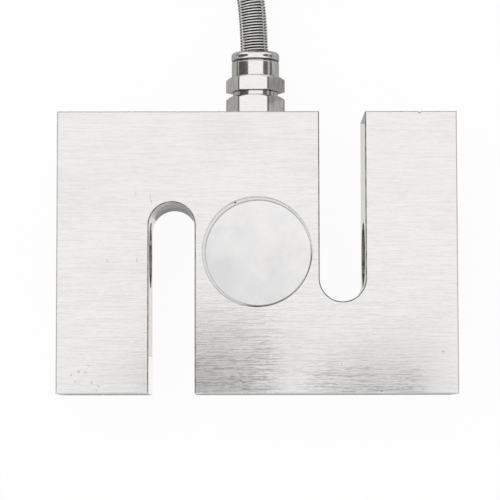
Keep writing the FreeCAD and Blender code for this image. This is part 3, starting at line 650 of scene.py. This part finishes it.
glass_board = Finish("solder_board", (0.06, 0.24, 0.11), 0.45)
glass_weave = glass_board.noise((1800, 1800, 1800), 3)
glass_board.colour(glass_board.blend(glass_weave, (0.07, 0.27, 0.12), (0.04, 0.17, 0.08)))
dress(glass_board, "terminal_board_front", "terminal_board_rear")

chip = Finish("resistor_chip", (0.05, 0.05, 0.055), 0.5)
chip.bump(chip.noise((5000, 5000, 5000), 2), 0.00001)
dress(chip, "trim_resistors")

enamel = Finish("enamelled_wire", (0.62, 0.27, 0.12), 0.25, 1.0)
enamel.colour(enamel.blend(enamel.noise((2000, 2000, 2000), 2), (0.66, 0.30, 0.14), (0.50, 0.20, 0.08)))
dress(enamel, "bridge_wires_front", "bridge_wires_rear", "cross_wires")

silicone = Finish("clear_silicone", (0.68, 0.70, 0.68), 0.3)
silicone.shader.inputs["Transmission Weight"].default_value = 0.6
silicone.bump(silicone.noise((400, 400, 400), 3), 0.00005)
dress(silicone, "front_potting", "rear_potting")


# --- Ties, sleeve and leads ---------------------------------------------------------------------
# Natural nylon ties hold the coil.  At the free end the jacket is closed by a shrunk sleeve, and
# five stripped and tinned leads fan out on the table.

nylon = Finish("natural_nylon", (0.74, 0.73, 0.68), 0.38)
nylon.shader.inputs["Subsurface Weight"].default_value = 0.15
nylon.shader.inputs["Subsurface Scale"].default_value = 0.001
nylon.bump(nylon.noise((900, 900, 900), 3), 0.00003)
dress(nylon, "coil_ties")

shrink = Finish("shrink_sleeve", (0.018, 0.018, 0.02), 0.5)
shrink.bump(shrink.noise((500, 500, 500), 3), 0.00012)
dress(shrink, "tail_sleeve")

tin = Finish("tinned_copper", (0.72, 0.71, 0.70), 0.28, 1.0)
tin.bump(tin.noise((3000, 3000, 3000), 3), 0.00003)
dress(tin, "lead_tips")

INSULATION = {
    "red": (0.55, 0.02, 0.02), "black": (0.02, 0.02, 0.022), "green": (0.02, 0.26, 0.07),
    "white": (0.78, 0.78, 0.76), "shield": (0.72, 0.55, 0.04),
}
for colour_name, colour in INSULATION.items():
    coat = Finish("insulation_" + colour_name, colour, 0.4)
    darker = tuple(0.75 * part for part in colour)
    coat.colour(coat.blend(coat.noise((700, 700, 700), 3), colour, darker))
    coat.bump(coat.noise((2500, 2500, 2500), 2), 0.00002)
    dress(coat, "lead_" + colour_name)
    if "core_" + colour_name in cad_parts:
        dress(coat, "core_" + colour_name)


# --- Table and light ----------------------------------------------------------------------------
# A white table under a wide soft light.  Grey flags round it give the bright metal its dark bands,
# one stands for the camera that the ground face mirrors, and small cards light the slots' walls.

TABLE_HALF = 2.0
TABLE_WHITE = (0.88, 0.88, 0.88, 1)
TABLE_SEEN_WHITE = 0.95
TABLE_MIRRORED_SHADE = 0.45


def level(left, right, near, far, height):
    """The corners of a flat sheet that lies or hangs level."""
    return [(left, near, height), (right, near, height), (right, far, height), (left, far, height)]


table_mesh = bpy.data.meshes.new("table")
table_mesh.from_pydata(level(-TABLE_HALF, TABLE_HALF, -TABLE_HALF, TABLE_HALF, 0), [], [(0, 1, 2, 3)])
table = bpy.data.objects.new("table", table_mesh)
bpy.context.scene.collection.objects.link(table)


class Studio:
    """The few shader nodes that the table and the sky are made of."""

    def __init__(self, holder):
        holder.use_nodes = True
        self.nodes = holder.node_tree.nodes
        self.links = holder.node_tree.links
        self.nodes.clear()
        self.path = self.nodes.new("ShaderNodeLightPath")

    def maths(self, operation, first, second):
        node = self.nodes.new("ShaderNodeMath")
        node.operation = operation
        for socket, value in zip(node.inputs, (first, second)):
            if isinstance(value, str):
                self.links.new(self.path.outputs[value], socket)
            elif isinstance(value, bpy.types.NodeSocket):
                self.links.new(value, socket)
            else:
                socket.default_value = value
        return node.outputs[0]

    def light(self, kind, strength):
        node = self.nodes.new(kind)
        node.inputs["Color"].default_value = (1, 1, 1, 1)
        node.inputs["Strength"].default_value = strength
        return node.outputs[0]

    def mix(self, share, first, second):
        node = self.nodes.new("ShaderNodeMixShader")
        for socket, value in zip(node.inputs, (share, first, second)):
            self.links.new(value, socket)
        return node.outputs[0]

    def surface(self, kind, value):
        self.links.new(value, self.nodes.new(kind).inputs["Surface"])


# white where it is looked at, and half grey where the metal mirrors it close by, as painted shade of the
# part on the table
white = bpy.data.materials.new("white_table")
ground_plane = Studio(white)
paper = ground_plane.nodes.new("ShaderNodeBsdfDiffuse")
paper.inputs["Color"].default_value = TABLE_WHITE
looked_at = ground_plane.maths("MAXIMUM", "Is Camera Ray", "Is Transmission Ray")
looked_at = ground_plane.maths("MULTIPLY", looked_at, TABLE_SEEN_WHITE)
mirrored_shade = ground_plane.maths("MULTIPLY", "Is Glossy Ray", TABLE_MIRRORED_SHADE)
sheet = ground_plane.mix(mirrored_shade, paper.outputs[0], ground_plane.light("ShaderNodeEmission", 0.10))
sheet = ground_plane.mix(looked_at, sheet, ground_plane.light("ShaderNodeEmission", 1.0))
ground_plane.surface("ShaderNodeOutputMaterial", sheet)
table_mesh.materials.append(white)

world = bpy.data.worlds.new("studio")
bpy.context.scene.world = world
sky = Studio(world)
open_sky = sky.maths("MAXIMUM", "Is Camera Ray", "Is Glossy Ray")
open_sky = sky.maths("MAXIMUM", open_sky, "Is Transmission Ray")
soft = sky.light("ShaderNodeBackground", 0.72)
sky.surface("ShaderNodeOutputWorld", sky.mix(open_sky, soft, sky.light("ShaderNodeBackground", 1.0)))

lamp_data = bpy.data.lights.new("soft_lamp", "AREA")
lamp_data.shape = "SQUARE"
lamp_data.size = 0.8
lamp_data.energy = 3.2
lamp = bpy.data.objects.new("soft_lamp", lamp_data)
lamp.location = (-0.35, 0.30, 0.95)
lamp.rotation_euler = (Vector((0, 0.02, 0)) - lamp.location).to_track_quat("-Z", "Y").to_euler()
lamp.visible_glossy = False
bpy.context.scene.collection.objects.link(lamp)

FLAG_NEAR = -0.16
FLAG_FAR = 0.21
HUNG_AT = 0.64
BACK_AT = 0.60
ON_TABLE = 0.0002
UNDER_SLOT = 0.0004
SLOT_INNER = 0.0168
SLOT_OUTER = 0.0292


def flag(name, corners, grey):
    """A matt card that only reflections see."""
    mesh = bpy.data.meshes.new(name)
    mesh.from_pydata(corners, [], [(0, 1, 2, 3)])
    card = bpy.data.objects.new(name, mesh)
    bpy.context.scene.collection.objects.link(card)
    shade = bpy.data.materials.new(name)
    shade.use_nodes = True
    shade.node_tree.nodes.clear()
    tone = shade.node_tree.nodes.new("ShaderNodeEmission")
    tone.inputs["Color"].default_value = (grey, grey * 0.98, grey * 0.95, 1)
    out = shade.node_tree.nodes.new("ShaderNodeOutputMaterial")
    shade.node_tree.links.new(tone.outputs[0], out.inputs["Surface"])
    mesh.materials.append(shade)
    for kind in ("camera", "diffuse", "transmission", "shadow", "volume_scatter"):
        setattr(card, "visible_" + kind, False)


def facing_camera(left, right, low, high):
    """The corners of a card that stands behind the part."""
    return [(left, BACK_AT, low), (right, BACK_AT, low), (right, BACK_AT, high), (left, BACK_AT, high)]


def upright(x, low, high):
    """The corners of a card that stands at one side."""
    return [(x, FLAG_NEAR, low), (x, FLAG_FAR, low), (x, FLAG_FAR, high), (x, FLAG_NEAR, high)]


def under_slot(side, near, far):
    """The bright table under a slot, which the slot's walls mirror."""
    return level(SLOT_INNER * side, SLOT_OUTER * side, near, far, UNDER_SLOT)


flag("left_flag", upright(-0.50, 0.02, 0.72), 0.10)
flag("right_flag", upright(0.50, 0.28, 0.66), 0.12)
flag("right_gap_flag", upright(0.50, 0.16, 0.28), 0.48)
flag("right_low_flag", upright(0.50, 0.02, 0.16), 0.14)
flag("back_flag", facing_camera(-0.25, 0.25, 0.08, 0.42), 0.15)
flag("camera_flag", level(-0.050, 0.000, -0.090, 0.004, HUNG_AT), 0.42)
flag("arm_flag", level(0.044, 0.094, -0.090, -0.014, HUNG_AT), 0.52)
flag("left_far_card", level(-0.20, -0.06, 0.056, 0.096, ON_TABLE), 0.16)
flag("right_bench_card", level(0.040, 0.30, 0.049, 0.057, ON_TABLE), 0.30)
flag("left_mouth_card", under_slot(-1, -0.038, -0.0273), 1.0)
flag("left_slot_card", under_slot(-1, -0.0272, 0.0105), 0.80)
flag("left_end_card", under_slot(-1, 0.0106, 0.0150), 0.34)
flag("right_slot_card", under_slot(1, -0.0105, 0.038), 0.72)

bpy.context.scene.view_settings.view_transform = "Standard"
